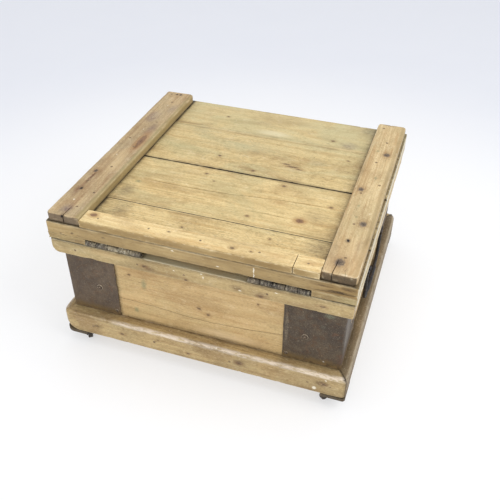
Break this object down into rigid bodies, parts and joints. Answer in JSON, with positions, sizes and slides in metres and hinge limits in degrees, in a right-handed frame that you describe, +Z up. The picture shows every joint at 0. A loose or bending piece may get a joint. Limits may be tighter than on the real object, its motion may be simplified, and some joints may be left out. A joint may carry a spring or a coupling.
{
  "type": "wooden chest",
  "caption": "Low boarded pine chest on swivel castors: hinged lid with battens, iron corner angles, mitred plinth and a drop handle on each end.",
  "frame": {"origin": "on the floor, under the middle of the plinth", "axes": "+X to the right when facing the opening edge, +Y towards the hinged back, +Z up"},
  "size_m": [0.617, 0.5906, 0.3339],
  "materials": {
    "pine_lid": "worn waxed old pine, honey with a grey-green cast, fine grain, drying cracks and darkened joints",
    "pine_batten": "worn waxed old pine, warmer tan, rounded arrises, knots and nail stains",
    "pine_rail": "worn waxed old pine, olive brown, pale rubbed arrises",
    "pine_wall": "old pine board with fine grain, scratches and a few filled marks",
    "pine_plinth": "old pine moulding, rounded and rubbed pale along the top edge, bruised at the corners",
    "pine_inside": "bare old pine, drier and duller than outside",
    "pine_dark": "pine blocks gone dark with floor dirt",
    "iron_brown": "brown rusted sheet iron, dull, with rubbed grey patches",
    "screw_heads": "domed iron screw heads, dark with a rubbed crown",
    "nail_iron": "dark rusted nail heads set flush",
    "hinge_steel": "dark worn hinge iron with rubbed knuckles",
    "iron_black": "black iron, slightly pitted",
    "castor_iron": "dark worn castor iron"
  },
  "bodies": {
    "carcass": {"front_wall_board": "pine_wall", "back_wall_board": "pine_wall", "left_end_board": "pine_wall", "right_end_board": "pine_wall", "bottom_boards": "pine_inside", "bottom_cleats": "pine_inside", "front_rail": "pine_rail", "back_rail": "pine_rail", "left_rail": "pine_rail", "right_rail": "pine_rail", "front_plinth": "pine_plinth", "back_plinth": "pine_plinth", "left_plinth": "pine_plinth", "right_plinth": "pine_plinth", "corner_iron_front_left": "iron_brown", "corner_iron_front_right": "iron_brown", "corner_iron_back_left": "iron_brown", "corner_iron_back_right": "iron_brown", "corner_iron_screws": "screw_heads", "carcass_nails": "nail_iron", "hinge_leaf_carcass_left": "hinge_steel", "hinge_leaf_carcass_right": "hinge_steel", "hinge_pins": "hinge_steel", "hinge_screws_carcass": "hinge_steel", "handle_plate_left": "iron_black", "handle_plate_right": "iron_black", "handle_screws": "iron_black", "castor_blocks": "pine_dark", "castor_plates": "castor_iron", "castor_screws": "castor_iron"},
    "lid": {"lid_board_front": "pine_lid", "lid_board_front_middle": "pine_lid", "lid_board_back_middle": "pine_lid", "lid_board_back": "pine_lid", "lid_batten_left": "pine_batten", "lid_batten_right": "pine_batten", "lid_strip_long": "pine_batten", "lid_strip_short": "pine_batten", "lid_frame_front": "pine_rail", "lid_frame_back": "pine_rail", "lid_frame_left": "pine_rail", "lid_frame_right": "pine_rail", "hinge_leaf_lid_left": "hinge_steel", "hinge_leaf_lid_right": "hinge_steel", "lid_nails": "nail_iron", "hinge_screws_lid": "hinge_steel"},
    "handle_left": {"handle_bail_left": "iron_black"},
    "handle_right": {"handle_bail_right": "iron_black"},
    "castor_front_left": {"castor_fork_front_left": "castor_iron", "castor_axle_front_left": "castor_iron"},
    "wheel_front_left": {"castor_wheel_front_left": "castor_iron"},
    "castor_front_right": {"castor_fork_front_right": "castor_iron", "castor_axle_front_right": "castor_iron"},
    "wheel_front_right": {"castor_wheel_front_right": "castor_iron"},
    "castor_back_left": {"castor_fork_back_left": "castor_iron", "castor_axle_back_left": "castor_iron"},
    "wheel_back_left": {"castor_wheel_back_left": "castor_iron"},
    "castor_back_right": {"castor_fork_back_right": "castor_iron", "castor_axle_back_right": "castor_iron"},
    "wheel_back_right": {"castor_wheel_back_right": "castor_iron"}
  },
  "joints": [
    {"name": "lid_hinge", "type": "hinge", "parent": "carcass", "child": "lid", "pos_m": [0, 0.287, 0.281], "axis": [-1, 0, 0], "range_deg": [0, 105]},
    {"name": "handle_left_swing", "type": "hinge", "parent": "carcass", "child": "handle_left", "pos_m": [-0.2958, 0, 0.184], "axis": [0, 1, 0], "range_deg": [0, 95]},
    {"name": "handle_right_swing", "type": "hinge", "parent": "carcass", "child": "handle_right", "pos_m": [0.2958, 0, 0.184], "axis": [0, -1, 0], "range_deg": [0, 95]},
    {"name": "castor_front_left_swivel", "type": "hinge", "parent": "carcass", "child": "castor_front_left", "pos_m": [-0.2725, -0.2643, 0.0225], "axis": [0, 0, 1], "continuous": true},
    {"name": "wheel_front_left_spin", "type": "hinge", "parent": "castor_front_left", "child": "wheel_front_left", "pos_m": [-0.26468, -0.27468, 0.01], "axis": [0.7986, 0.6018, 0], "continuous": true},
    {"name": "castor_front_right_swivel", "type": "hinge", "parent": "carcass", "child": "castor_front_right", "pos_m": [0.2725, -0.2643, 0.0225], "axis": [0, 0, 1], "continuous": true},
    {"name": "wheel_front_right_spin", "type": "hinge", "parent": "castor_front_right", "child": "wheel_front_right", "pos_m": [0.26468, -0.27468, 0.01], "axis": [0.7986, -0.6018, 0], "continuous": true},
    {"name": "castor_back_left_swivel", "type": "hinge", "parent": "carcass", "child": "castor_back_left", "pos_m": [-0.2725, 0.2643, 0.0225], "axis": [0, 0, 1], "continuous": true},
    {"name": "wheel_back_left_spin", "type": "hinge", "parent": "castor_back_left", "child": "wheel_back_left", "pos_m": [-0.26468, 0.27468, 0.01], "axis": [-0.7986, 0.6018, 0], "continuous": true},
    {"name": "castor_back_right_swivel", "type": "hinge", "parent": "carcass", "child": "castor_back_right", "pos_m": [0.2725, 0.2643, 0.0225], "axis": [0, 0, 1], "continuous": true},
    {"name": "wheel_back_right_spin", "type": "hinge", "parent": "castor_back_right", "child": "wheel_back_right", "pos_m": [0.26468, 0.27468, 0.01], "axis": [-0.7986, -0.6018, 0], "continuous": true}
  ]
}
